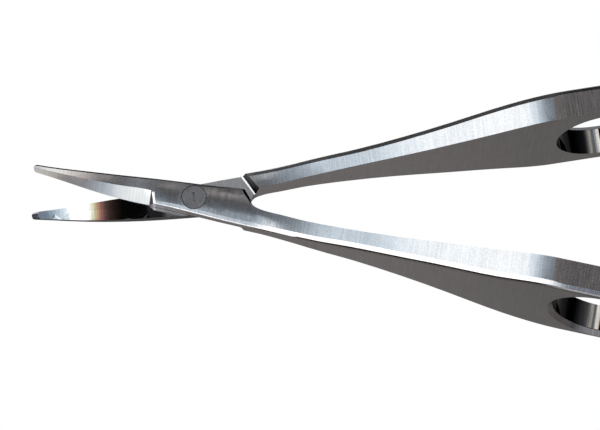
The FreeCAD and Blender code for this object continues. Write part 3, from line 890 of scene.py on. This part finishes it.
@dataclass
class Studio:
    """Pale floor, soft surroundings and the camera."""

    centre: Vector = Vector((-32.1 * MM, -0.88 * MM, 4.5 * MM))     # middle of the picture
    distance: float = 280 * MM
    elevation: float = math.radians(70.0)
    roll: float = 0.026                     # radians
    pixels_per_metre: float = 14000.0
    picture_width: int = 600
    sensor: float = 36.0                    # width in millimetres, as a camera's lens is counted too
    clip_start: float = 10 * MM
    floor_size: float = 3.0
    floor_drop: float = 0.02 * MM           # clear of the resting lands, so that no faces coincide
    floor_mirrored: float = 0.45            # how bright the steel sees the floor
    light: float = 2.5                      # strength of the surroundings
    horizon: Fade = Fade("Z", 0.02, 0.30, 0.40, 1.0)    # the surroundings darken down to the floor

    def build(self) -> None:
        """Builds floor, surroundings and camera."""
        self.build_floor()
        self.build_world()
        self.build_camera()

    def build_floor(self) -> None:
        """Lays the floor under the resting lands: white to camera and mirrors, shaded otherwise."""
        half, level = self.floor_size / 2, -self.floor_drop
        mesh = bpy.data.meshes.new("floor")
        corners = [(-half, -half, level), (half, -half, level), (half, half, level), (-half, half, level)]
        mesh.from_pydata(corners, [], [(0, 1, 2, 3)])
        floor = bpy.data.objects.new("floor", mesh)
        bpy.context.scene.collection.objects.link(floor)
        material, tree = new_material("white_acrylic_table")
        paths = add(tree, "ShaderNodeLightPath").outputs
        seen = paths["Is Camera Ray"]
        for kind in ("Is Transmission Ray", "Is Glossy Ray"):
            seen = add(tree, "ShaderNodeMath", {0: seen, 1: paths[kind]}, operation="MAXIMUM").outputs[0]
        lit = add(tree, "ShaderNodeBsdfDiffuse", {"Color": linear(WHITE)})
        strength = add(tree, "ShaderNodeMapRange", {
            "Value": paths["Is Glossy Ray"], "To Min": 1.0, "To Max": self.floor_mirrored,
        })
        glow = add(tree, "ShaderNodeEmission", {
            "Color": linear(WHITE), "Strength": strength.outputs["Result"],
        })
        mix = add(tree, "ShaderNodeMixShader", {
            0: seen, 1: lit.outputs["BSDF"], 2: glow.outputs["Emission"],
        })
        add(tree, "ShaderNodeOutputMaterial", {"Surface": mix.outputs["Shader"]})
        mesh.materials.append(material)

    def build_world(self) -> None:
        """Surrounds the object with the bands, and keeps the background plain white to the camera."""
        world = bpy.data.worlds.new("light_bands")
        world.use_nodes = True
        tree = world.node_tree
        tree.nodes.clear()
        direction = add(tree, "ShaderNodeTexCoord").outputs["Generated"]
        parts = add(tree, "ShaderNodeSeparateXYZ", {"Vector": direction}).outputs
        across = add(tree, "ShaderNodeMapRange", {"Value": parts["X"], "From Min": -1.0, "From Max": 1.0})
        toward = add(tree, "ShaderNodeVectorMath", {
            0: direction, 1: (0.0, -math.sin(self.elevation), math.cos(self.elevation)),
        }, operation="DOT_PRODUCT")
        shade = None
        for band in SURROUNDINGS:
            colours = add(tree, "ShaderNodeValToRGB", {"Fac": across.outputs["Result"]}, label=band.name)
            band.fill(colours.color_ramp)
            if shade is None:
                shade = colours.outputs["Color"]
                continue
            share = add(tree, "ShaderNodeMapRange", {
                "Value": toward.outputs["Value"], "From Min": band.lean[0], "From Max": band.lean[1],
            }, interpolation_type="SMOOTHSTEP")
            shade = add(tree, "ShaderNodeMix", {
                0: share.outputs["Result"], 6: shade, 7: colours.outputs["Color"],
            }, data_type="RGBA").outputs[2]
        horizon = add(tree, "ShaderNodeMapRange", {
            "Value": parts[self.horizon.follows],
            "From Min": self.horizon.start, "From Max": self.horizon.end,
            "To Min": self.horizon.low, "To Max": self.horizon.high,
        }, interpolation_type="SMOOTHSTEP")
        bands = add(tree, "ShaderNodeVectorMath", {
            0: shade, "Scale": horizon.outputs["Result"],
        }, operation="SCALE")
        paths = add(tree, "ShaderNodeLightPath").outputs
        lighting = add(tree, "ShaderNodeBackground", {
            "Color": bands.outputs["Vector"], "Strength": self.light,
        })
        plain = add(tree, "ShaderNodeBackground", {"Color": linear(WHITE), "Strength": 1.0})
        mix = add(tree, "ShaderNodeMixShader", {
            0: paths["Is Camera Ray"], 1: lighting.outputs["Background"], 2: plain.outputs["Background"],
        })
        add(tree, "ShaderNodeOutputWorld", {"Surface": mix.outputs["Shader"]})
        bpy.context.scene.world = world

    def build_camera(self) -> None:
        """Places the camera at the photograph's angle and scale."""
        data = bpy.data.cameras.new("camera")
        data.sensor_width = self.sensor
        data.lens = self.sensor * self.distance * self.pixels_per_metre / self.picture_width
        data.clip_start = self.clip_start
        camera = bpy.data.objects.new("camera", data)
        bpy.context.scene.collection.objects.link(camera)
        back = Vector((0.0, -math.cos(self.elevation), math.sin(self.elevation)))
        tilt = Matrix.Rotation(math.pi / 2 - self.elevation, 4, "X")
        spin = Matrix.Rotation(self.roll, 4, "Z")
        camera.matrix_world = Matrix.Translation(self.centre + back * self.distance) @ tilt @ spin
        bpy.context.scene.camera = camera


def main() -> None:
    """Dresses the frame, adds the leaves, and sets the scene."""
    logging.basicConfig(level=logging.INFO, format="%(name)s: %(message)s")
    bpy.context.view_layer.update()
    bpy.context.scene.view_settings.view_transform = "Standard"
    rivet_finish = RIVET_STEEL.build(Vector((0.0, 0.0, 0.0)))
    strip = StripSteel().build()
    for side in Side:
        pieces = Lever(side).dress(rivet_finish)
        pieces.append(LeafSpring(side).build(strip))
        LOG.info("%s: dressed %s", side.name.lower(), ", ".join(piece.name for piece in pieces))
    for node, finish in (("pivot_screw", SCREW_STEEL.build(PIVOT)), ("tail_rivet", rivet_finish)):
        put_material(frame["nodes"][node], finish)
        LOG.info("dressed %s in %s", node, finish.name)
    Studio().build()


if __name__ == "__main__":
    main()
